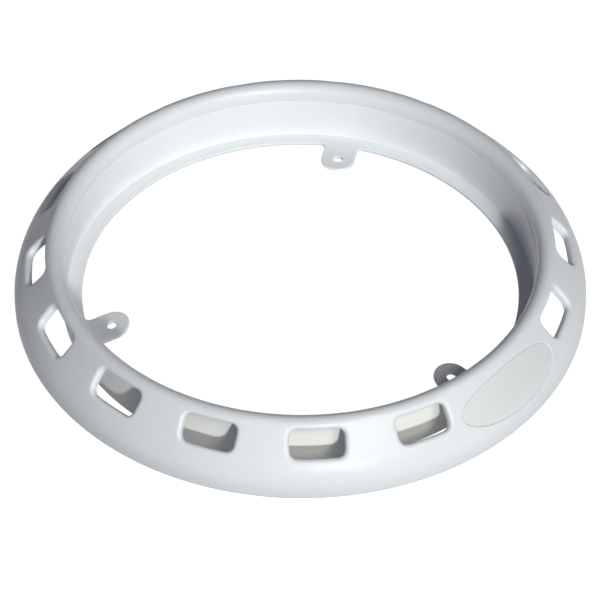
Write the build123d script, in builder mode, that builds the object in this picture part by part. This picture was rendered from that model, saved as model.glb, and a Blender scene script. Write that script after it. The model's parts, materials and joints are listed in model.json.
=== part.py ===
"""Bucket base ring: a soft moulded ring that the foot of a round bucket drops into.

Every piece is shown at its place in the ring's own frame, in millimetres. The origin is on the
ring's axis in the plane of its flat underside, +Z is up, and the badge panel faces -Y.
"""

import os
from math import cos, radians, sin

from build123d import *

# Collar that holds the bucket's foot
collar_radius = 133.0
wall = 3.0
ledge_inner_radius = 124.5
ledge_thickness = 2.0
ledge_fillet = 1.0
edge_round = 0.5

# Crown rolled over the top of the ring. The skirt slopes down from it and turns plumb at a knee.
# The lean is how far the slope faces up from the horizontal, in degrees.
crown_radius = 5.8
crown_centre_height = 31.6
lip_step = 0.2
skirt_lean = 42.0
knee_radius = 24.0
foot_outer_radius = 162.6
foot_round = 1.4

# Lap joint between the crown's inner lip and the collar
lip_height = 27.5
lip_thickness = 1.3
lap_gap = 0.05

# Windows and badge panel share sixteen equal places around the skirt, the badge in the first.
# A drop is a distance down the slope from the crown. Each window's edge is turned in, and stands
# past the skirt's inside as a short return.
place_count = 16
place_pitch = 360.0 / place_count
window_width = 30.0
window_height = 15.6
window_corner = 3.6
window_rim_round = 1.5
window_return = 2.0
window_return_wall = 1.6
window_centre_drop = 9.6

badge_half_length = 37.8
badge_half_height = 12.8
badge_centre_drop = 16.0
badge_pocket_depth = 1.3
badge_thickness = 1.0
badge_edge_gap = 0.1

# Screw tabs that reach inwards from the ledge
tab_count = 3
tab_width = 20.0
tab_hole_circle_radius = 111.5
tab_hole_radius = 2.7
tab_hole_chamfer = 0.4
tab_hinge_radius = 124.9
tab_seat_gap = 0.1
tab_side_gap = 0.3

# Sizes that follow from the ones above
front = -90.0
cut_reach = 12.0
collar_outer_radius = collar_radius + wall
crown_centre_radius = collar_radius + lip_step + crown_radius
foot_centre_radius = foot_outer_radius - foot_round
crown_inner_radius = crown_centre_radius - collar_outer_radius
skirt_wall = crown_radius - crown_inner_radius
lean = radians(skirt_lean)
knee_centre_radius = foot_outer_radius - knee_radius
knee_offset = knee_radius - crown_radius + (knee_centre_radius - crown_centre_radius) * cos(lean)
knee_centre_height = crown_centre_height - knee_offset / sin(lean)


def on_circle(centre_radius, centre_height, radius, angle):
    """Point of the half section at an angle above the horizontal on one of its round corners."""
    turn = radians(angle)
    return (centre_radius + radius * cos(turn), centre_height + radius * sin(turn))


def crown_point(depth, angle):
    """Point at an angle on the crown, a depth under its outside."""
    return on_circle(crown_centre_radius, crown_centre_height, crown_radius - depth, angle)


def knee_point(depth, angle):
    """Point at an angle on the skirt's knee, a depth under its outside."""
    return on_circle(knee_centre_radius, knee_centre_height, knee_radius - depth, angle)


def section_plane():
    """Half-section plane through the middle of a web, so that no window meets a revolved seam."""
    return Plane.XZ.rotated((0, 0, place_pitch / 2))


def skirt_plane(place, drop):
    """Plane on the slope at one of the sixteen places and a drop, facing straight out of it."""
    turn = radians(front + place * place_pitch)
    crown_edge = crown_point(0, skirt_lean)
    radius = crown_edge[0] + drop * sin(lean)
    return Plane(
        origin=(radius * cos(turn), radius * sin(turn), crown_edge[1] - drop * cos(lean)),
        x_dir=(-sin(turn), cos(turn), 0),
        z_dir=(cos(turn) * cos(lean), sin(turn) * cos(lean), sin(lean)),
    )


def tab_plane(turn_index, height):
    """Level plane on the ring's axis whose +X points at one screw tab."""
    angle = radians(front + turn_index * 360.0 / tab_count)
    return Plane(origin=(0, 0, height), x_dir=(cos(angle), sin(angle), 0), z_dir=(0, 0, 1))


def badge_layer(edge_gap, depth_low, depth_high):
    """Oval layer that follows the slope and the knee, between two depths under their outside."""
    with BuildPart() as layer:
        with BuildSketch(skirt_plane(0, badge_centre_drop)):
            Ellipse(badge_half_length - edge_gap, badge_half_height - edge_gap)
        extrude(amount=cut_reach, both=True)
        with BuildSketch(section_plane()):
            with BuildLine():
                low_slope = Line(crown_point(depth_low, skirt_lean), knee_point(depth_low, skirt_lean))
                low_knee = ThreePointArc(
                    low_slope @ 1, knee_point(depth_low, skirt_lean / 2), knee_point(depth_low, 0)
                )
                high_knee = ThreePointArc(
                    knee_point(depth_high, 0),
                    knee_point(depth_high, skirt_lean / 2),
                    knee_point(depth_high, skirt_lean),
                )
                high_slope = Line(high_knee @ 1, crown_point(depth_high, skirt_lean))
                Line(low_knee @ 1, high_knee @ 0)
                Line(high_slope @ 1, low_slope @ 0)
            make_face()
        revolve(axis=Axis.Z, mode=Mode.INTERSECT)
    return layer.part


# Outer skirt: foot edge, knee, slope, crown and the crown's short inner lip
window_planes = [skirt_plane(place, window_centre_drop) for place in range(1, place_count)]
return_planes = [plane.offset(-skirt_wall - window_return) for plane in window_planes]
lip_outer_radius = collar_radius + lip_step + lip_thickness
badge_pocket = badge_layer(0, badge_pocket_depth, -cut_reach)
with BuildPart() as outer_skirt:
    with BuildSketch(section_plane()):
        with BuildLine():
            foot_flat = Line((foot_outer_radius - skirt_wall, 0), (foot_centre_radius, 0))
            foot_edge = ThreePointArc(
                foot_flat @ 1,
                on_circle(foot_centre_radius, foot_round, foot_round, -45),
                (foot_outer_radius, foot_round),
            )
            band = Line(foot_edge @ 1, knee_point(0, 0))
            knee = ThreePointArc(band @ 1, knee_point(0, skirt_lean / 2), knee_point(0, skirt_lean))
            slope = Line(knee @ 1, crown_point(0, skirt_lean))
            crown = ThreePointArc(
                slope @ 1, crown_point(0, 90), (collar_radius + lip_step, crown_centre_height)
            )
            lip = Polyline(
                crown @ 1,
                (collar_radius + lip_step, lip_height),
                (lip_outer_radius, lip_height),
                (lip_outer_radius, crown_centre_height),
                (collar_outer_radius, crown_centre_height),
            )
            crown_inside = ThreePointArc(
                lip @ 1, crown_point(skirt_wall, 90), crown_point(skirt_wall, skirt_lean)
            )
            slope_inside = Line(crown_inside @ 1, knee_point(skirt_wall, skirt_lean))
            knee_inside = ThreePointArc(
                slope_inside @ 1,
                knee_point(skirt_wall, skirt_lean / 2),
                knee_point(skirt_wall, 0),
            )
            Line(knee_inside @ 1, foot_flat @ 0)
        make_face()
    revolve(axis=Axis.Z)

    with BuildSketch(*return_planes):
        RectangleRounded(
            window_width + 2 * window_return_wall,
            window_height + 2 * window_return_wall,
            window_corner + window_return_wall,
        )
    extrude(amount=window_return + skirt_wall / 2)
    with BuildSketch(*window_planes):
        RectangleRounded(window_width, window_height, window_corner)
    extrude(amount=cut_reach, both=True, mode=Mode.SUBTRACT)
    sloping_face = outer_skirt.faces().filter_by(GeomType.CONE).sort_by(SortBy.AREA)[-1]
    fillet(sloping_face.inner_wires().edges(), window_rim_round)

    add(badge_pocket, mode=Mode.SUBTRACT)
outer_skirt.part.label = "outer_skirt"

# Badge panel: a blank oval that lies in the skirt's shallow pocket, a little below the surface
with BuildPart() as badge_panel:
    add(badge_layer(badge_edge_gap, badge_pocket_depth, badge_pocket_depth - badge_thickness))
badge_panel.part.label = "badge_panel"

# Inner collar: straight wall with a lap tongue on top and a flat ledge turned in at the foot
tongue_inner_radius = lip_outer_radius + lap_gap
tongue_top = crown_centre_height - lap_gap
shoulder_height = lip_height - lap_gap
tab_seat_radius = tab_hinge_radius + ledge_thickness / 2 + tab_seat_gap
seat_length = tab_seat_radius - ledge_inner_radius
seat_planes = [tab_plane(index, 0) for index in range(tab_count)]
with BuildPart() as inner_collar:
    with BuildSketch(section_plane()):
        with BuildLine():
            Polyline(
                (ledge_inner_radius, 0),
                (collar_outer_radius, 0),
                (collar_outer_radius, tongue_top),
                (tongue_inner_radius, tongue_top),
                (tongue_inner_radius, shoulder_height),
                (collar_radius, shoulder_height),
                (collar_radius, ledge_thickness),
                (ledge_inner_radius, ledge_thickness),
                close=True,
            )
        make_face()
    revolve(axis=Axis.Z)
    circles = inner_collar.edges().filter_by(GeomType.CIRCLE)
    ledge_corner = circles.filter_by(lambda edge: abs(edge.radius - collar_radius) < lap_gap)
    fillet(ledge_corner.sort_by(Axis.Z)[0], ledge_fillet)
    fillet(ledge_corner.sort_by(Axis.Z)[-1], edge_round)
    with BuildSketch(*seat_planes):
        with Locations((tab_seat_radius - seat_length, 0)):
            Rectangle(2 * seat_length, tab_width + 2 * tab_side_gap)
    extrude(amount=ledge_thickness, mode=Mode.SUBTRACT)
inner_collar.part.label = "inner_collar"


def screw_tab(index):
    """One flat tab with a rounded end round its hole and a half-round root on its flexing line."""
    level = tab_plane(index, 0)
    side = Plane(origin=level.origin, x_dir=level.x_dir, z_dir=-level.y_dir)
    half_thickness = ledge_thickness / 2
    with BuildPart() as tab:
        with BuildSketch(level):
            with BuildLine():
                Polyline(
                    (tab_hole_circle_radius, tab_width / 2),
                    (tab_hinge_radius, tab_width / 2),
                    (tab_hinge_radius, -tab_width / 2),
                    (tab_hole_circle_radius, -tab_width / 2),
                )
                ThreePointArc(
                    (tab_hole_circle_radius, -tab_width / 2),
                    (tab_hole_circle_radius - tab_width / 2, 0),
                    (tab_hole_circle_radius, tab_width / 2),
                )
            make_face()
        extrude(amount=ledge_thickness)
        with BuildSketch(side):
            with Locations((tab_hinge_radius, half_thickness)):
                Circle(half_thickness)
        extrude(amount=tab_width / 2, both=True)
        with Locations(tab_plane(index, ledge_thickness)):
            with Locations((tab_hole_circle_radius, 0)):
                Hole(tab_hole_radius)
        rims = tab.edges().filter_by(GeomType.CIRCLE)
        chamfer(rims.filter_by(lambda edge: edge.radius == tab_hole_radius), tab_hole_chamfer)
    return tab.part


tab_names = ["front_screw_tab", "right_screw_tab", "left_screw_tab"]
screw_tabs = [screw_tab(index) for index in range(tab_count)]
for name, tab in zip(tab_names, screw_tabs):
    tab.label = name

os.makedirs("parts", exist_ok=True)
for piece in [outer_skirt.part, inner_collar.part, badge_panel.part, *screw_tabs]:
    export_step(piece, f"parts/{piece.label}.step")
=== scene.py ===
"""Looks of the bucket base ring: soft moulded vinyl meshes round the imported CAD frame.

All lengths are metres. The half section runs outwards along r and upwards along z. Angles round the
ring are counted from +X, so the oval panel's middle is at -90 degrees.
"""

import json
import math

import bmesh
import bpy
from mathutils import Matrix, Vector


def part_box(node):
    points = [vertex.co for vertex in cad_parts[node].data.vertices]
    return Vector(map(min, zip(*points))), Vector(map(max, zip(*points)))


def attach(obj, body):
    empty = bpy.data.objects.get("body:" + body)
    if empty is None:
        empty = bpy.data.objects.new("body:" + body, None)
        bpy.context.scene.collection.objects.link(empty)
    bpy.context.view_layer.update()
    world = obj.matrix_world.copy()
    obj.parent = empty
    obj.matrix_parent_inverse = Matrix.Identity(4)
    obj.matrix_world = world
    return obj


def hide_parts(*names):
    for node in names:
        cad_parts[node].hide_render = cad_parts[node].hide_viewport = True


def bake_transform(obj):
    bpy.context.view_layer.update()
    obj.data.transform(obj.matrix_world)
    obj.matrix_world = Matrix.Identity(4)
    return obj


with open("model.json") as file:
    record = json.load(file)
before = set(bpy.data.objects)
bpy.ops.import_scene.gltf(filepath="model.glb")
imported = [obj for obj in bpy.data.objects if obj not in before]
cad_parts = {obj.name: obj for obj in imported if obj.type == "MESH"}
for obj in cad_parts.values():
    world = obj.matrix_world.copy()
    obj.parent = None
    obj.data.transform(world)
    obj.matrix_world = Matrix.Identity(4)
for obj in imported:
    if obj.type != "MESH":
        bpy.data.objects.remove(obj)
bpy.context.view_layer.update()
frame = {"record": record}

MM = 0.001
TURN = 2 * math.pi

# Sizes that the frame states
mounts = {mount["name"]: mount for mount in frame["record"]["mounts"]}
skirt_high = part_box("outer_skirt")[1]
collar_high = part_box("inner_collar")[1]
front_tab_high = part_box("front_screw_tab")[1]
panel_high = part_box("badge_panel")[1]
collar_radius = mounts["bucket_collar"]["dims"]["r_mm"] * MM
hole_circle_radius = mounts["screw_holes"]["dims"]["pcd_mm"] * MM / 2
hole_radius = mounts["screw_holes"]["dims"]["hole_r_mm"] * MM
foot_outer_radius = skirt_high.x
collar_outer_radius = collar_high.x
ledge_thickness = front_tab_high.z
tab_half_width = front_tab_high.x
panel_half_length = panel_high.x

# Sizes of the half section, as in the CAD
crown_radius = 5.8 * MM
crown_centre_height = skirt_high.z - crown_radius
lean = math.radians(42)
knee_radius = 24.0 * MM
foot_round = 1.4 * MM
lip_height = 27.5 * MM
lip_step = 0.2 * MM
lip_thickness = 1.3 * MM
lap_gap = 0.05 * MM
ledge_inner_radius = 124.5 * MM
ledge_fillet = 1.0 * MM
shoulder_round = 0.5 * MM
lip_inner = collar_radius + lip_step
crown_centre_radius = lip_inner + crown_radius
crown_inner_radius = crown_centre_radius - collar_outer_radius
skirt_wall = crown_radius - crown_inner_radius
foot_centre_radius = foot_outer_radius - foot_round
knee_centre_radius = foot_outer_radius - knee_radius
knee_offset = (
    knee_radius - crown_radius + (knee_centre_radius - crown_centre_radius) * math.cos(lean)
)
knee_centre_height = crown_centre_height - knee_offset / math.sin(lean)

# Rounded edges that only the visual meshes have
lip_edge_round = 0.35 * MM
collar_foot_round = 0.5 * MM
ledge_top_round = 0.7 * MM
ledge_foot_round = 0.5 * MM
hole_rim_round = 0.55 * MM

# Stretches of the skirt's outside, from the foot's rounding up to the crown
band_length = knee_centre_height - foot_round
knee_length = knee_radius * lean
slope_rise = knee_offset / math.sin(lean) - (knee_radius - crown_radius) * math.sin(lean)
slope_length = slope_rise / math.cos(lean)
skirt_length = band_length + knee_length + slope_length

# Sixteen equal places round the skirt: the oval panel in the first, a window in each other. A drop
# is a distance down the slope from the crown. Each place is one patch of the mesh, and the panel's
# patch is the widest.
place_count = 16
place_pitch = TURN / place_count
front = -TURN / 4
window_half_width = 15.0 * MM
window_half_height = 7.8 * MM
window_corner = 4.2 * MM
window_drop = 9.6 * MM
window_rim_width = 2.4 * MM
window_rim_depth = 2.0 * MM
window_return = 2.0 * MM
window_return_wall = 1.6 * MM
panel_half_height = 12.8 * MM
panel_drop = 16.0 * MM
panel_depth = 0.3 * MM
panel_edge_round = 0.3 * MM
panel_gap = 0.05 * MM
pocket_depth = 1.3 * MM
pocket_rim = 0.6 * MM
panel_side_margin = 3.2 * MM
panel_foot_margin = 2.0 * MM
crown_margin = 2.2 * MM
window_middle = skirt_length - window_drop
panel_middle = skirt_length - panel_drop
patch_low = panel_middle - panel_half_height - panel_foot_margin
patch_high = skirt_length + crown_margin

# Screw tabs, each lifted a little at its free end. They join the collar at the seam circle, and
# bend between the two bend radii.
tab_names = ["front", "right", "left"]
tab_angles = [front, front + TURN / 3, front + TURN * 2 / 3]
tab_lifts = [math.radians(7), math.radians(3), math.radians(13)]
tab_fillet = 2.6 * MM
tab_seam_radius = 129.0 * MM
tab_seam_half_angle = 13.4 * MM / ledge_inner_radius
bend_start_radius = 124.2 * MM
bend_end_radius = 118.5 * MM

# Mesh density
patch_columns = 20
patch_rows = 10
corner_steps = 3
arc_steps = 6
round_steps = 4
tab_seam_columns = 16
seam_steps = 5
edge_steps = 2
fillet_steps = 6
root_steps = seam_steps + edge_steps + fillet_steps
quarter_turns = [TURN / 4 * step / round_steps for step in range(round_steps + 1)]


# ---------------------------------------------------------------- half sections

def arc_point(centre, radius, turn):
    """Point of the half section at an angle on a round corner."""
    return (centre[0] + radius * math.cos(turn), centre[1] + radius * math.sin(turn))


def arc_points(centre, radius, start, end, steps):
    """Points of a round corner in the half section, from one angle to another, ends included."""
    turns = [start + (end - start) * step / steps for step in range(steps + 1)]
    return [arc_point(centre, radius, turn) for turn in turns]


def line_points(start, end, steps):
    """Points of a straight stretch in the half section, ends included."""
    shares = [step / steps for step in range(steps + 1)]
    return [
        (start[0] + (end[0] - start[0]) * s, start[1] + (end[1] - start[1]) * s) for s in shares
    ]


def chain(*stretches):
    """Joins stretches end to end, leaving out a point that repeats the one before it."""
    shortest_gap = 0.0001 * MM
    points = []
    for stretch in stretches:
        for point in stretch:
            if not points or math.dist(points[-1], point) > shortest_gap:
                points.append(point)
    return points


foot_centre = (foot_centre_radius, foot_round)
knee_centre = (knee_centre_radius, knee_centre_height)
crown_centre = (crown_centre_radius, crown_centre_height)


def skirt_point(along, depth):
    """Point of the half section at a distance up the skirt's outside and a depth under it."""
    up_knee = along - band_length
    up_slope = up_knee - knee_length
    over_crown = up_slope - slope_length
    if up_knee < 0:
        return (foot_outer_radius - depth, foot_round + along)
    if up_slope < 0:
        return arc_point(knee_centre, knee_radius - depth, up_knee / knee_radius)
    if over_crown < 0:
        start = arc_point(knee_centre, knee_radius - depth, lean)
        return (start[0] - up_slope * math.sin(lean), start[1] + up_slope * math.cos(lean))
    return arc_point(crown_centre, crown_radius - depth, lean + over_crown / crown_radius)


def foot_section():
    """From the patches' lower edge outside, round the foot, to their lower edge inside."""
    steps = 7
    inner_radius = foot_outer_radius - skirt_wall
    alongs = [patch_low * step / steps for step in range(steps + 1)]
    return chain(
        [skirt_point(along, 0) for along in alongs[::-1]],
        arc_points(foot_centre, foot_round, 0, -TURN / 4, arc_steps),
        line_points((foot_centre_radius, 0), (inner_radius, 0), steps=2),
        [skirt_point(along, skirt_wall) for along in alongs],
    )


def crown_section():
    """From the patches' upper edge outside, over the crown and round its lip, to inside."""
    start = lean + (patch_high - skirt_length) / crown_radius
    lip_outer = lip_inner + lip_thickness
    edge_centre = (lip_inner + lip_edge_round, lip_height + lip_edge_round)
    inner_top = (lip_inner, crown_centre_height)
    outer_foot = (lip_outer, lip_height)
    outer_top = (lip_outer, crown_centre_height)
    crown_foot = (collar_outer_radius, crown_centre_height)
    return chain(
        arc_points(crown_centre, crown_radius, start, TURN / 2, 3 * arc_steps),
        line_points(inner_top, (lip_inner, edge_centre[1]), steps=3),
        arc_points(edge_centre, lip_edge_round, TURN / 2, TURN * 3 / 4, round_steps),
        line_points((edge_centre[0], lip_height), outer_foot, steps=2),
        line_points(outer_foot, outer_top, steps=3),
        line_points(outer_top, crown_foot, steps=2),
        arc_points(crown_centre, crown_inner_radius, TURN / 2, start, 2 * arc_steps),
    )


# ---------------------------------------------------------------- mesh helpers

def turned(point, angle):
    """Half-section point turned round the ring's axis to an angle."""
    return Vector((point[0] * math.cos(angle), point[0] * math.sin(angle), point[1]))


def join_rows(bm, rows, closed=False):
    """Quads between rows of points that match one to one; closed also joins each row's ends."""
    grid = [[bm.verts.new(point) for point in row] for row in rows]
    for lower, upper in zip(grid, grid[1:]):
        last = len(lower) if closed else len(lower) - 1
        for index in range(last):
            following = (index + 1) % len(lower)
            bm.faces.new((lower[index], lower[following], upper[following], upper[index]))


def coons(bottom, top, left, right):
    """Grid of points between four matching edges; left and right run from bottom to top."""
    columns = len(bottom) - 1
    rows = len(left) - 1
    grid = []
    for row in range(rows + 1):
        v = row / rows
        line = []
        for column in range(columns + 1):
            u = column / columns
            across = left[row].lerp(right[row], u)
            upward = bottom[column].lerp(top[column], v)
            corners = bottom[0].lerp(bottom[-1], u).lerp(top[0].lerp(top[-1], u), v)
            line.append(across + upward - corners)
        grid.append(line)
    return grid


def finished(bm, name):
    """Welds a mesh under construction and makes it a smooth-shaded object.

    Square edges are creased, so that smoothing opens no groove where two pieces meet.
    """
    weld_distance = 0.002 * MM
    crease_angle = math.radians(75)
    sharp_angle = math.radians(38)
    bmesh.ops.remove_doubles(bm, verts=bm.verts, dist=weld_distance)
    bmesh.ops.recalc_face_normals(bm, faces=bm.faces)
    creases = bm.edges.layers.float.new("crease_edge")
    for edge in bm.edges:
        if edge.is_manifold and edge.calc_face_angle() > crease_angle:
            edge[creases] = 1.0
    mesh = bpy.data.meshes.new(name)
    bm.to_mesh(mesh)
    bm.free()
    mesh.polygons.foreach_set("use_smooth", [True] * len(mesh.polygons))
    mesh.set_sharp_from_angle(angle=sharp_angle)
    piece = bpy.data.objects.new(name, mesh)
    bpy.context.scene.collection.objects.link(piece)
    return piece


def perimeter(columns, rows, bottom, right, top, left):
    """Walks a four-sided outline anticlockwise, calling one function of share per side."""
    points = [bottom(step / columns) for step in range(columns)]
    points += [right(step / rows) for step in range(rows)]
    points += [top(step / columns) for step in range(columns)]
    points += [left(step / rows) for step in range(rows)]
    return points


# ---------------------------------------------------------------- outer skirt

def place_edges():
    """Start and end angle of each place's patch."""
    panel_half_angle = (panel_half_length + panel_side_margin) / skirt_point(panel_middle, 0)[0]
    starts = [front - panel_half_angle, front + panel_half_angle]
    starts += [front + place_pitch * (place + 0.5) for place in range(1, place_count - 1)]
    return list(zip(starts, starts[1:] + [starts[0] + TURN]))


def column_angles(edges):
    """Column angles of one patch."""
    start, end = edges
    return [start + (end - start) * step / patch_columns for step in range(patch_columns + 1)]


def patch_outline(edges):
    """Outline of one patch as (angle, along) pairs, in step with an opening's outline."""
    start, end = edges
    return perimeter(
        patch_columns,
        patch_rows,
        lambda s: (start + (end - start) * s, patch_low),
        lambda s: (end, patch_low + (patch_high - patch_low) * s),
        lambda s: (end + (start - end) * s, patch_high),
        lambda s: (start, patch_high + (patch_low - patch_high) * s),
    )


def rounded_side(half_length, half_across, corner, steps):
    """One side of a rounded rectangle, from one corner's middle to the next, along +x below."""
    middle_left = (-half_length + corner, -half_across + corner)
    middle_right = (half_length - corner, -half_across + corner)
    straight = steps - 2 * corner_steps
    return chain(
        arc_points(middle_left, corner, TURN * 5 / 8, TURN * 3 / 4, corner_steps),
        line_points(
            (middle_left[0], -half_across), (middle_right[0], -half_across), straight
        ),
        arc_points(middle_right, corner, TURN * 3 / 4, TURN * 7 / 8, corner_steps),
    )


def window_outline(offset):
    """Rounded rectangle grown by an offset, as (sideways, along) pairs from its middle."""
    half_width = window_half_width + offset
    half_height = window_half_height + offset
    corner = window_corner + offset
    below = rounded_side(half_width, half_height, corner, patch_columns)[:-1]
    beside = rounded_side(half_height, half_width, corner, patch_rows)[:-1]
    right = [(-y, x) for x, y in beside]
    above = [(-x, -y) for x, y in below]
    left = [(y, -x) for x, y in beside]
    return below + right + above + left


def oval_outline(half_length, half_height):
    """Oval as (sideways, along) pairs in step with a patch's outline."""
    turns = perimeter(
        patch_columns,
        patch_rows,
        lambda s: TURN * (5 / 8 + s / 4),
        lambda s: TURN * (7 / 8 + s / 4),
        lambda s: TURN * (1 / 8 + s / 4),
        lambda s: TURN * (3 / 8 + s / 4),
    )
    return [(half_length * math.cos(t), half_height * math.sin(t)) for t in turns]


def on_skirt(middle_angle, middle_along, offsets, depth):
    """Points on the skirt for (sideways, along) pairs round a middle, at a depth."""
    points = []
    for sideways, along in offsets:
        place = middle_along + along
        angle = middle_angle + sideways / skirt_point(place, 0)[0]
        points.append(turned(skirt_point(place, depth), angle))
    return points


def rings_to_patch(outline, middle_angle, middle_along, edges, depth):
    """Rings of points from an opening's outline out to its patch's outline, on one surface."""
    ring_shares = (0, 0.1, 0.32, 0.64, 1)
    outer = patch_outline(edges)
    rings = []
    for share in ring_shares:
        ring = []
        for (sideways, along), (outer_angle, outer_along) in zip(outline, outer):
            place = middle_along + along
            angle = middle_angle + sideways / skirt_point(place, 0)[0]
            spot = place + (outer_along - place) * share
            ring.append(turned(skirt_point(spot, depth), angle + (outer_angle - angle) * share))
        rings.append(ring)
    return rings


def add_window(bm, middle_angle, edges):
    """One window through the skirt: a soft rim outside and a turned-in edge with a round end."""
    outside = rings_to_patch(
        window_outline(window_rim_width), middle_angle, window_middle, edges, 0
    )
    inside = rings_to_patch(
        window_outline(window_return_wall), middle_angle, window_middle, edges, skirt_wall
    )
    wall = []
    for step in range(1, arc_steps + 1):
        turn = TURN / 4 * step / arc_steps
        offset = window_rim_width * (1 - math.sin(turn))
        depth = window_rim_depth * (1 - math.cos(turn))
        wall.append(on_skirt(middle_angle, window_middle, window_outline(offset), depth))
    end_radius = window_return_wall / 2
    end_depth = skirt_wall + window_return - end_radius
    for step in range(arc_steps + 1):
        turn = TURN / 2 * step / arc_steps
        offset = end_radius * (1 - math.cos(turn))
        depth = end_depth + end_radius * math.sin(turn)
        wall.append(on_skirt(middle_angle, window_middle, window_outline(offset), depth))
    join_rows(bm, outside[::-1] + wall + inside, closed=True)


def oval_grid(half_length, half_height, depth):
    """Grid of points over an oval on the skirt's outside."""
    outline = [Vector(pair) for pair in oval_outline(half_length, half_height)]
    bottom = outline[: patch_columns + 1]
    right = outline[patch_columns : patch_columns + patch_rows + 1]
    top = outline[patch_columns + patch_rows : 2 * patch_columns + patch_rows + 1][::-1]
    left = (outline[2 * patch_columns + patch_rows :] + outline[:1])[::-1]
    grid = coons(bottom, top, left, right)
    return [on_skirt(front, panel_middle, row, depth) for row in grid]


def add_panel_pocket(bm, edges):
    """Shallow oval pocket with a soft rim for the panel, and the plain wall behind it."""
    outline = oval_outline(panel_half_length + pocket_rim, panel_half_height + pocket_rim)
    outside = rings_to_patch(outline, front, panel_middle, edges, 0)
    side = []
    for turn in quarter_turns[1:]:
        offset = pocket_rim * (1 - math.sin(turn))
        depth = pocket_rim * (1 - math.cos(turn))
        oval = oval_outline(panel_half_length + offset, panel_half_height + offset)
        side.append(on_skirt(front, panel_middle, oval, depth))
    floor = on_skirt(
        front, panel_middle, oval_outline(panel_half_length, panel_half_height), pocket_depth
    )
    join_rows(bm, outside[::-1] + side + [floor], closed=True)
    join_rows(bm, oval_grid(panel_half_length, panel_half_height, pocket_depth))
    columns = column_angles(edges)
    rows = []
    for row in range(patch_rows + 1):
        along = patch_low + (patch_high - patch_low) * row / patch_rows
        rows.append([turned(skirt_point(along, skirt_wall), angle) for angle in columns])
    join_rows(bm, rows)


def build_skirt():
    """Outer skirt in one welded mesh: patches, foot and crown."""
    bm = bmesh.new()
    patches = place_edges()
    angles = [angle for edges in patches for angle in column_angles(edges)[:-1]]
    for section in (foot_section(), crown_section()):
        rows = [[turned(point, angle) for angle in angles] for point in section]
        join_rows(bm, rows, closed=True)
    add_panel_pocket(bm, patches[0])
    for place in range(1, place_count):
        add_window(bm, front + place * place_pitch, patches[place])
    return finished(bm, "soft_skirt")


def build_panel():
    """Blank oval panel, a little lower than the skirt round it, with a rounded edge."""
    bm = bmesh.new()
    half_length = panel_half_length - panel_gap
    half_height = panel_half_height - panel_gap
    rows = []
    for turn in quarter_turns:
        inset = panel_edge_round * (1 - math.sin(turn))
        depth = panel_depth + panel_edge_round * (1 - math.cos(turn))
        oval = oval_outline(half_length - inset, half_height - inset)
        rows.append(on_skirt(front, panel_middle, oval, depth))
    lowest = pocket_depth - panel_gap / 2
    rows.append(on_skirt(front, panel_middle, oval_outline(half_length, half_height), lowest))
    join_rows(bm, rows, closed=True)
    flat_half_length = half_length - panel_edge_round
    flat_half_height = half_height - panel_edge_round
    join_rows(bm, oval_grid(flat_half_length, flat_half_height, panel_depth))
    join_rows(bm, oval_grid(half_length, half_height, lowest))
    return finished(bm, "oval_panel")


# ---------------------------------------------------------------- tabs and collar

def edge_levels(top_round, low_round):
    """(inset, height) pairs down an edge as thick as the ledge, rounded at its top and its foot."""
    levels = []
    for turn in quarter_turns:
        inset = top_round * (1 - math.sin(turn))
        levels.append((inset, ledge_thickness - top_round * (1 - math.cos(turn))))
    for turn in quarter_turns:
        inset = low_round * (1 - math.cos(turn))
        levels.append((inset, low_round * (1 - math.sin(turn))))
    return levels


ledge_levels = edge_levels(ledge_top_round, ledge_foot_round)
hole_levels = edge_levels(hole_rim_round, hole_rim_round)


def collar_wall_section():
    """From the ledge's seam circle on top, up the wall, over the tongue, and back underneath."""
    tongue_inner = lip_inner + lip_thickness + lap_gap
    tongue_top = crown_centre_height - lap_gap
    shoulder = lip_height - lap_gap
    fillet_centre = (collar_radius - ledge_fillet, ledge_thickness + ledge_fillet)
    shoulder_centre = (collar_radius + shoulder_round, shoulder - shoulder_round)
    tongue_foot = (tongue_inner, shoulder)
    tongue_edge = (tongue_inner, tongue_top)
    outer_top = (collar_outer_radius, tongue_top)
    corner_centre = (collar_outer_radius - collar_foot_round, collar_foot_round)
    seam_top = (tab_seam_radius, ledge_thickness)
    return chain(
        line_points(seam_top, (fillet_centre[0], ledge_thickness), steps=3),
        arc_points(fillet_centre, ledge_fillet, -TURN / 4, 0, round_steps),
        line_points(
            (collar_radius, fillet_centre[1]), (collar_radius, shoulder_centre[1]), steps=10
        ),
        arc_points(shoulder_centre, shoulder_round, TURN / 2, TURN / 4, round_steps),
        line_points((shoulder_centre[0], shoulder), tongue_foot, steps=2),
        line_points(tongue_foot, tongue_edge, steps=2),
        line_points(tongue_edge, outer_top, steps=2),
        line_points(outer_top, (collar_outer_radius, collar_foot_round), steps=12),
        arc_points(corner_centre, collar_foot_round, 0, -TURN / 4, corner_steps),
        line_points((corner_centre[0], 0), (tab_seam_radius, 0), steps=3),
    )


def ledge_section():
    """From the seam circle underneath, round the ledge's inner edge, to the seam circle on top."""
    top_start = ledge_inner_radius + ledge_top_round
    foot_start = ledge_inner_radius + ledge_foot_round
    edge = [(ledge_inner_radius + inset, height) for inset, height in ledge_levels]
    return chain(
        line_points((tab_seam_radius, 0), (foot_start, 0), seam_steps),
        edge[::-1],
        line_points((top_start, ledge_thickness), (tab_seam_radius, ledge_thickness), seam_steps),
    )


def seam_columns(middle):
    """Angles across one tab's seam."""
    steps = range(tab_seam_columns + 1)
    return [middle + tab_seam_half_angle * (2 * s / tab_seam_columns - 1) for s in steps]


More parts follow.
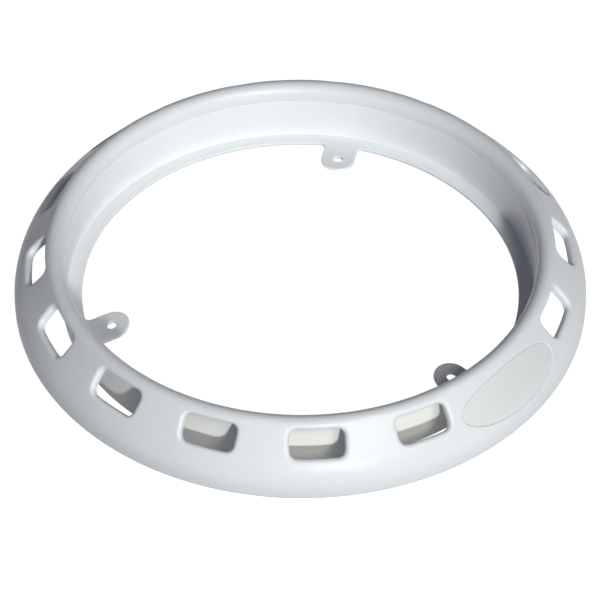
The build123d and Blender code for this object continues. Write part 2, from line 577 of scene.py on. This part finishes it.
def build_collar():
    """Straight collar wall with its ledge, cut back to the seam circle where a tab joins."""
    bm = bmesh.new()
    free_columns = 90
    ledge_rows = ledge_section()
    angles = []
    for middle in tab_angles:
        start = middle + tab_seam_half_angle
        end = middle + TURN / 3 - tab_seam_half_angle
        free = [start + (end - start) * s / free_columns for s in range(free_columns + 1)]
        join_rows(bm, [[turned(point, angle) for angle in free] for point in ledge_rows])
        seam = seam_columns(middle)
        seat = line_points((tab_seam_radius, 0), (tab_seam_radius, ledge_thickness), steps=1)
        join_rows(bm, [[turned(point, angle) for angle in seam] for point in seat])
        for angle in (seam[0], seam[-1]):
            bm.faces.new([bm.verts.new(turned(point, angle)) for point in ledge_rows])
        angles += seam[:-1] + free[:-1]
    wall = [[turned(point, angle) for angle in angles] for point in collar_wall_section()]
    join_rows(bm, wall, closed=True)
    return finished(bm, "soft_collar")


def tab_half_path():
    """Right half of a tab's outline from the seam's back corner to the tip's middle.

    Each entry is a point and the way into the material there; no way means a seam, which has
    no rounded edge. x runs across the tab and y outwards from the ring's axis.
    """
    half = tab_half_width
    fillet_x = half + tab_fillet
    fillet_y = math.sqrt((ledge_inner_radius - tab_fillet) ** 2 - fillet_x**2)
    path = []
    for step in range(seam_steps):
        radius = tab_seam_radius + (ledge_inner_radius - tab_seam_radius) * step / seam_steps
        angle = tab_seam_half_angle
        path.append((Vector((radius * math.sin(angle), radius * math.cos(angle))), None))
    fillet_end_angle = math.atan2(fillet_x, fillet_y)
    for step in range(edge_steps):
        angle = tab_seam_half_angle + (fillet_end_angle - tab_seam_half_angle) * step / edge_steps
        way = Vector((math.sin(angle), math.cos(angle)))
        path.append((way * ledge_inner_radius, way))
    start = TURN / 4 - fillet_end_angle
    for step in range(fillet_steps + 1):
        turn = start + (TURN / 2 - start) * step / fillet_steps
        way = Vector((math.cos(turn), math.sin(turn)))
        path.append((Vector((fillet_x, fillet_y)) + way * tab_fillet, way))
    side_steps = 6
    for step in range(1, side_steps):
        y = fillet_y + (hole_circle_radius - fillet_y) * step / side_steps
        path.append((Vector((half, y)), Vector((-1, 0))))
    tip_steps = 12
    for step in range(tip_steps + 1):
        turn = -TURN / 4 * step / tip_steps
        way = Vector((math.cos(turn), math.sin(turn)))
        path.append((Vector((0, hole_circle_radius)) + way * half, -way))
    return path


def tab_outline(inset):
    """Whole outline of a tab, anticlockwise from the right back corner to the left one."""
    right = tab_half_path()
    points = [point + way * inset if way else point for point, way in right]
    mirrored = [Vector((-point.x, point.y)) for point in points[:-1]]
    return points + mirrored[::-1]


def back_arc():
    """Points of the seam's back edge, from its left corner to its right one."""
    return [
        Vector((tab_seam_radius * math.sin(angle), tab_seam_radius * math.cos(angle)))
        for angle in seam_columns(0)
    ]


def raised(points, height):
    """Flat points lifted to a height."""
    return [Vector((point.x, point.y, height)) for point in points]


def neck_points(outline):
    """Points across the tab's neck, from its left side to its right, between root and hole."""
    left, right = outline[len(outline) - 1 - root_steps], outline[root_steps]
    return [left.lerp(right, step / tab_seam_columns) for step in range(tab_seam_columns + 1)]


def hole_surround(outline):
    """Closed outline of the tab's outer part, from the right of the neck round the tip."""
    return outline[root_steps : len(outline) - root_steps] + neck_points(outline)[1:-1]


def hole_ring(growth):
    """Points of a circle round the screw hole, in step with its surround."""
    middle = Vector((0, hole_circle_radius))
    spokes = [(point - middle).normalized() for point in hole_surround(tab_outline(0))]
    return [middle + spoke * (hole_radius + growth) for spoke in spokes]


def add_tab_sheet(bm, inset, growth, height):
    """Flat top or underside of a tab: a grid at the root and rings round the hole."""
    outline = tab_outline(inset)
    left_side = outline[len(outline) - 1 - root_steps :]
    right_side = outline[: root_steps + 1][::-1]
    sides = (neck_points(outline), back_arc(), left_side, right_side)
    join_rows(bm, coons(*[raised(side, height) for side in sides]))
    inner = hole_ring(growth)
    outer = hole_surround(outline)
    ring_shares = (0, 0.12, 0.28, 0.46, 0.64, 0.82, 1)
    rings = [[a.lerp(b, share) for a, b in zip(inner, outer)] for share in ring_shares]
    join_rows(bm, [raised(ring, height) for ring in rings], closed=True)


def lifted(y, lift):
    """Height that a tab's slight upward set adds at a distance from the ring's axis."""
    bend_length = bend_start_radius - bend_end_radius
    past_start = max(bend_start_radius - y, 0.0)
    if past_start < bend_length:
        return lift * past_start**2 / (2 * bend_length)
    return lift * (past_start - bend_length / 2)


def build_tab(name, angle, lift):
    """One screw tab with its share of the ledge, built along +Y and turned to its place."""
    bm = bmesh.new()
    top, underside = 0, -1
    for level in (top, underside):
        inset, height = ledge_levels[level]
        add_tab_sheet(bm, inset, hole_levels[level][0], height)
    back = back_arc()[1:-1]
    sides = [raised(tab_outline(inset) + back, height) for inset, height in ledge_levels]
    join_rows(bm, sides, closed=True)
    hole = [raised(hole_ring(growth), height) for growth, height in hole_levels]
    join_rows(bm, hole, closed=True)
    for vert in bm.verts:
        vert.co.z += lifted(vert.co.y, lift)
    bmesh.ops.transform(bm, matrix=Matrix.Rotation(angle - TURN / 4, 4, "Z"), verts=bm.verts)
    return finished(bm, name)


# ---------------------------------------------------------------- materials

class Graph:
    """A material's node tree with short calls for adding and joining nodes."""

    def __init__(self, name):
        self.material = bpy.data.materials.new(name)
        self.material.use_nodes = True
        self.tree = self.material.node_tree
        self.tree.nodes.clear()

    def add(self, kind, output=0, settings=None, **inputs):
        """Adds a node, sets or links its inputs, and returns its first or the named output."""
        node = self.tree.nodes.new("ShaderNode" + kind)
        for key, value in (settings or {}).items():
            setattr(node, key, value)
        for key, value in inputs.items():
            socket = node.inputs[key.replace("_", " ")]
            self.feed(socket, value)
        return node.outputs[output]

    def feed(self, socket, value):
        """Links a socket if the value is a node's output, and otherwise sets it."""
        if isinstance(value, bpy.types.NodeSocket):
            self.tree.links.new(value, socket)
        else:
            socket.default_value = value

    def finished_with(self, surface):
        """Sends a surface to the material's output and returns the material."""
        output = self.tree.nodes.new("ShaderNodeOutputMaterial")
        self.tree.links.new(surface, output.inputs["Surface"])
        return self.material

    def math(self, operation, first, second=0.0):
        """Result of a maths node on two values."""
        node = self.tree.nodes.new("ShaderNodeMath")
        node.operation = operation
        self.feed(node.inputs[0], first)
        self.feed(node.inputs[1], second)
        return node.outputs[0]

    def spread(self, value, low, high, new_low, new_high):
        """Value moved from one range to another and held inside it."""
        return self.add(
            "MapRange",
            Value=value,
            From_Min=low,
            From_Max=high,
            To_Min=new_low,
            To_Max=new_high,
        )

    def mix(self, share, first, second):
        """Colour between two colours. The node's sockets share names, so they go by number."""
        node = self.tree.nodes.new("ShaderNodeMix")
        node.data_type = "RGBA"
        for socket, value in zip((0, 6, 7), (share, first, second)):
            self.feed(node.inputs[socket], value)
        return node.outputs[2]

    def parts(self, vector):
        """The three parts of a vector."""
        node = self.tree.nodes.new("ShaderNodeSeparateXYZ")
        self.feed(node.inputs[0], vector)
        return node.outputs

    def noise(self, vector, scale, detail, roughness=0.5):
        """Noise texture's value at a vector."""
        return self.add(
            "TexNoise", Vector=vector, Scale=scale, Detail=detail, Roughness=roughness
        )

    def bump(self, height, distance, strength, normal=None):
        """Normal bent by a height, over a real distance."""
        inputs = {"Height": height, "Distance": distance, "Strength": strength}
        if normal is not None:
            inputs["Normal"] = normal
        return self.add("Bump", **inputs)


def ring_coordinates(graph, place):
    """Vector of arc length round the ring, radius and height, all in metres."""
    x, y, height = graph.parts(place)
    arc = graph.math("MULTIPLY", graph.math("ARCTAN2", y, x), collar_radius)
    squared = graph.math("ADD", graph.math("POWER", x, 2.0), graph.math("POWER", y, 2.0))
    radius = graph.math("SQRT", squared)
    return graph.add("CombineXYZ", X=arc, Y=radius, Z=height)


def scaled(graph, vector, factors):
    """Vector with each part scaled on its own, for stretched streaks."""
    return graph.add("Mapping", Vector=vector, Scale=factors)


def scuff_mask(graph, round_ring):
    """Share of faint scuffs that run round the ring."""
    stretched = scaled(graph, round_ring, (60.0, 420.0, 420.0))
    noise = graph.noise(stretched, 1.0, detail=6.0, roughness=0.7)
    return graph.spread(noise, 0.60, 0.70, 0.0, 1.0)


def clouded(graph, clouds, mottle, tint, shade):
    """Colour that drifts from a tint to a slightly darker shade in clouds and mottling."""
    colour = graph.mix(graph.spread(clouds, 0.3, 0.7, 0.0, 0.8), tint, shade)
    return graph.mix(graph.spread(mottle, 0.45, 0.75, 0.0, 0.25), colour, shade)


def worn_and_shaded(graph, colour, place, scuffs, speckle):
    """Colour with a little painted shade in the corners, scuffs and dark specks."""
    corner_shade_colour = (0.50, 0.50, 0.47, 1)
    corner_shade_share = 0.16
    scuff_colour = (0.55, 0.56, 0.57, 1)
    scuff_share = 0.10
    speck_colour = (0.36, 0.36, 0.36, 1)
    # Painted shade: occlusion greys the colour in corners and creases.
    openness = graph.add("AmbientOcclusion", "AO", {"samples": 6}, Distance=5 * MM)
    corners = graph.spread(openness, 0.35, 0.95, 1.0, 0.0)
    specks = graph.spread(graph.noise(place, 1500.0, detail=1.0), 0.66, 0.72, 0.0, speckle)
    colour = graph.mix(graph.math("MULTIPLY", corners, corner_shade_share), colour, corner_shade_colour)
    colour = graph.mix(graph.math("MULTIPLY", scuffs, scuff_share), colour, scuff_colour)
    return graph.mix(specks, colour, speck_colour)


def bounce_warmed(graph, colour, round_ring, start_radius):
    """Colour that turns a little warmer outside a radius: painted warm bounce light."""
    bounce_warm_colour = (0.89, 0.89, 0.84, 1)
    radius = graph.parts(round_ring)[1]
    share = graph.spread(radius, start_radius, start_radius + 0.4 * MM, 0.0, 0.85)
    return graph.mix(share, colour, bounce_warm_colour)


def moulded_normal(graph, place, round_ring, clouds, streak_factors, streak_depth):
    """Normal of a moulded surface: slow waves, peel, stretched streaks and fine grain."""
    stretched = scaled(graph, round_ring, streak_factors)
    streaks = graph.noise(stretched, 1.0, detail=5.0, roughness=0.65)
    peel = graph.noise(place, 420.0, detail=2.0)
    grain = graph.noise(place, 3200.0, detail=2.0)
    normal = graph.bump(clouds, 0.25 * MM, 0.6)
    normal = graph.bump(peel, 0.03 * MM, 0.7, normal)
    normal = graph.bump(streaks, streak_depth, 0.8, normal)
    return graph.bump(grain, 0.012 * MM, 0.8, normal)


def vinyl(name, tint, shade, roughness, streak_factors, streak_depth, speckle, bounce_warm_radius=None):
    """Soft moulded vinyl. Noise scales are in waves per metre.

    Outside the given radius, on the wall seen only through the windows, painted bounce light warms
    it.
    """
    scuff_dulling = 0.16
    graph = Graph(name)
    place = graph.add("TexCoord", "Object")
    round_ring = ring_coordinates(graph, place)
    clouds = graph.noise(place, 22.0, detail=4.0)
    mottle = graph.noise(place, 240.0, detail=5.0, roughness=0.6)
    scuffs = scuff_mask(graph, round_ring)

    colour = worn_and_shaded(graph, clouded(graph, clouds, mottle, tint, shade), place, scuffs, speckle)
    # Painted warm bounce light on the collar's outside.
    if bounce_warm_radius:
        colour = bounce_warmed(graph, colour, round_ring, bounce_warm_radius)
    gloss = graph.math("ADD", graph.spread(mottle, 0.3, 0.7, -0.05, 0.06), roughness)
    gloss = graph.math("ADD", gloss, graph.math("MULTIPLY", scuffs, scuff_dulling))
    normal = moulded_normal(graph, place, round_ring, clouds, streak_factors, streak_depth)

    surface = graph.add(
        "BsdfPrincipled",
        Base_Color=colour,
        Roughness=gloss,
        IOR=1.50,
        Subsurface_Weight=0.12,
        Subsurface_Radius=(1.0, 0.9, 0.8),
        Subsurface_Scale=1.6 * MM,
        Specular_IOR_Level=0.42,
        Coat_Weight=0.06,
        Coat_Roughness=0.30,
        Normal=normal,
    )
    return graph.finished_with(surface)


def floor_material():
    """Pale floor that stays near white and takes only a soft shadow."""
    shadow_share = 0.12
    graph = Graph("pale_floor")
    place = graph.add("TexCoord", "Object")
    cloud = graph.spread(graph.noise(place, 3.0, detail=2.0), 0.3, 0.7, 0.94, 0.97)
    colour = graph.add("CombineColor", Red=cloud, Green=cloud, Blue=cloud)
    glow = graph.add("Emission", Color=colour, Strength=1.22)
    matt = graph.add("BsdfDiffuse", Color=(0.9, 0.9, 0.9, 1))
    blend = graph.tree.nodes.new("ShaderNodeMixShader")
    for socket, value in zip(blend.inputs, (shadow_share, glow, matt)):
        graph.feed(socket, value)
    return graph.finished_with(blend.outputs[0])


# ---------------------------------------------------------------- studio

view_azimuth = math.radians(-48.6)
view_elevation = math.radians(43.88)
view_distance = 1.592
view_roll = math.radians(0.32)
view_lens = 166.4
view_aim = Vector((-0.00012, 0.00014, -0.00998))
light_distance = 6.0
floor_radius = 6.0
floor_drop = 0.05 * MM
bounce_drop = 0.5 * MM


def direction(azimuth, elevation):
    """Unit vector from the ring to a viewpoint; azimuth 0 looks along +Y."""
    level = math.cos(elevation)
    return Vector((math.sin(azimuth) * level, -math.cos(azimuth) * level, math.sin(elevation)))


def add_camera():
    """Camera at the reference viewing angle."""
    camera = bpy.data.objects.new("camera", bpy.data.cameras.new("camera"))
    bpy.context.scene.collection.objects.link(camera)
    away = direction(view_azimuth, view_elevation)
    look = away.to_track_quat("Z", "Y").to_matrix()
    camera.matrix_world = (
        Matrix.Translation(view_aim + away * view_distance)
        @ (look @ Matrix.Rotation(view_roll, 3, "Z")).to_4x4()
    )
    camera.data.lens = view_lens
    camera.data.clip_end = 50.0
    bpy.context.scene.camera = camera


def add_light(name, azimuth_degrees, elevation_degrees, size, power, colour):
    """Square softbox that points at the ring from afar."""
    data = bpy.data.lights.new(name, "AREA")
    data.size = size
    data.energy = power
    data.color = colour
    light = bpy.data.objects.new(name, data)
    bpy.context.scene.collection.objects.link(light)
    away = direction(math.radians(azimuth_degrees), math.radians(elevation_degrees))
    look = away.to_track_quat("Z", "Y").to_matrix().to_4x4()
    light.matrix_world = Matrix.Translation(away * light_distance) @ look


def add_floor():
    """Round pale floor just under the ring."""
    bm = bmesh.new()
    bmesh.ops.create_circle(bm, cap_ends=True, segments=96, radius=floor_radius)
    mesh = bpy.data.meshes.new("floor")
    bm.to_mesh(mesh)
    bm.free()
    floor = bpy.data.objects.new("floor", mesh)
    floor.location.z = -floor_drop
    bpy.context.scene.collection.objects.link(floor)
    floor.data.materials.append(floor_material())
    floor.visible_diffuse = False


def add_floor_bounce():
    """Faint glow that the pale floor throws up onto the collar's wall."""
    data = bpy.data.lights.new("bounce", "AREA")
    data.shape = "DISK"
    data.size = 210 * MM
    data.energy = 0.055
    data.color = (1.0, 0.92, 1.0)
    glow = bpy.data.objects.new("bounce", data)
    glow.location.z = -bounce_drop
    glow.rotation_euler.x = math.pi
    glow.visible_camera = False
    bpy.context.scene.collection.objects.link(glow)


def add_world(fill_colour, fill_strength):
    """Soft fill from all round; the camera itself sees plain white."""
    world = bpy.data.worlds.new("studio")
    bpy.context.scene.world = world
    world.use_nodes = True
    nodes, links = world.node_tree.nodes, world.node_tree.links
    nodes.clear()
    fill = nodes.new("ShaderNodeBackground")
    fill.inputs["Color"].default_value = fill_colour
    fill.inputs["Strength"].default_value = fill_strength
    seen = nodes.new("ShaderNodeBackground")
    seen.inputs["Color"].default_value = (1, 1, 1, 1)
    ray = nodes.new("ShaderNodeLightPath")
    mixed = nodes.new("ShaderNodeMixShader")
    links.new(ray.outputs["Is Camera Ray"], mixed.inputs[0])
    links.new(fill.outputs[0], mixed.inputs[1])
    links.new(seen.outputs[0], mixed.inputs[2])
    links.new(mixed.outputs[0], nodes.new("ShaderNodeOutputWorld").inputs[0])


# ---------------------------------------------------------------- assembly

def dress(piece, material):
    """Gives a piece its material and slot, and one level of smoothing."""
    piece.data.materials.append(material)
    smooth = piece.modifiers.new("smooth", "SUBSURF")
    smooth.levels = 1
    smooth.render_levels = 1
    return piece


skirt_vinyl = vinyl(
    "skirt_vinyl",
    tint=(0.800, 0.835, 0.855, 1),
    shade=(0.770, 0.805, 0.835, 1),
    roughness=0.40,
    streak_factors=(9.0, 900.0, 900.0),
    streak_depth=0.012 * MM,
    speckle=0.10,
)
# Painted light: the collar's tint is a little lighter than the skirt's, to brighten the inside
# wall.
collar_vinyl = vinyl(
    "collar_vinyl",
    tint=(0.865, 0.895, 0.910, 1),
    shade=(0.835, 0.870, 0.885, 1),
    roughness=0.43,
    streak_factors=(1100.0, 60.0, 14.0),
    streak_depth=0.014 * MM,
    speckle=0.12,
    bounce_warm_radius=collar_radius + 2.0 * MM,
)
panel_vinyl = vinyl(
    "panel_vinyl",
    tint=(0.760, 0.805, 0.790, 1),
    shade=(0.725, 0.770, 0.760, 1),
    roughness=0.36,
    streak_factors=(40.0, 500.0, 500.0),
    streak_depth=0.008 * MM,
    speckle=0.08,
)
tab_vinyl = vinyl(
    "tab_vinyl",
    tint=(0.840, 0.870, 0.885, 1),
    shade=(0.805, 0.840, 0.860, 1),
    roughness=0.44,
    streak_factors=(300.0, 300.0, 300.0),
    streak_depth=0.010 * MM,
    speckle=0.16,
)

skirt = dress(build_skirt(), skirt_vinyl)
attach(skirt, "ring")
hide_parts("outer_skirt")

collar = dress(build_collar(), collar_vinyl)
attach(collar, "ring")
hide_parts("inner_collar")

panel = dress(build_panel(), panel_vinyl)
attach(panel, "ring")
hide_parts("badge_panel")

for side, angle, lift in zip(tab_names, tab_angles, tab_lifts):
    tab = dress(build_tab(side + "_soft_tab", angle, lift), tab_vinyl)
    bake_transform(tab)
    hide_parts(side + "_screw_tab")

add_floor()
add_world(fill_colour=(0.76, 0.75, 1.0, 1), fill_strength=0.085)
add_light(
    "key",
    azimuth_degrees=-34.6,
    elevation_degrees=24,
    size=0.4,
    power=208,
    colour=(0.975, 1.0, 1.0),
)
add_light(
    "side",
    azimuth_degrees=-16.6,
    elevation_degrees=45,
    size=1.9,
    power=144,
    colour=(1.0, 0.98, 0.925),
)
add_floor_bounce()
add_camera()
bpy.context.scene.view_settings.view_transform = "Standard"
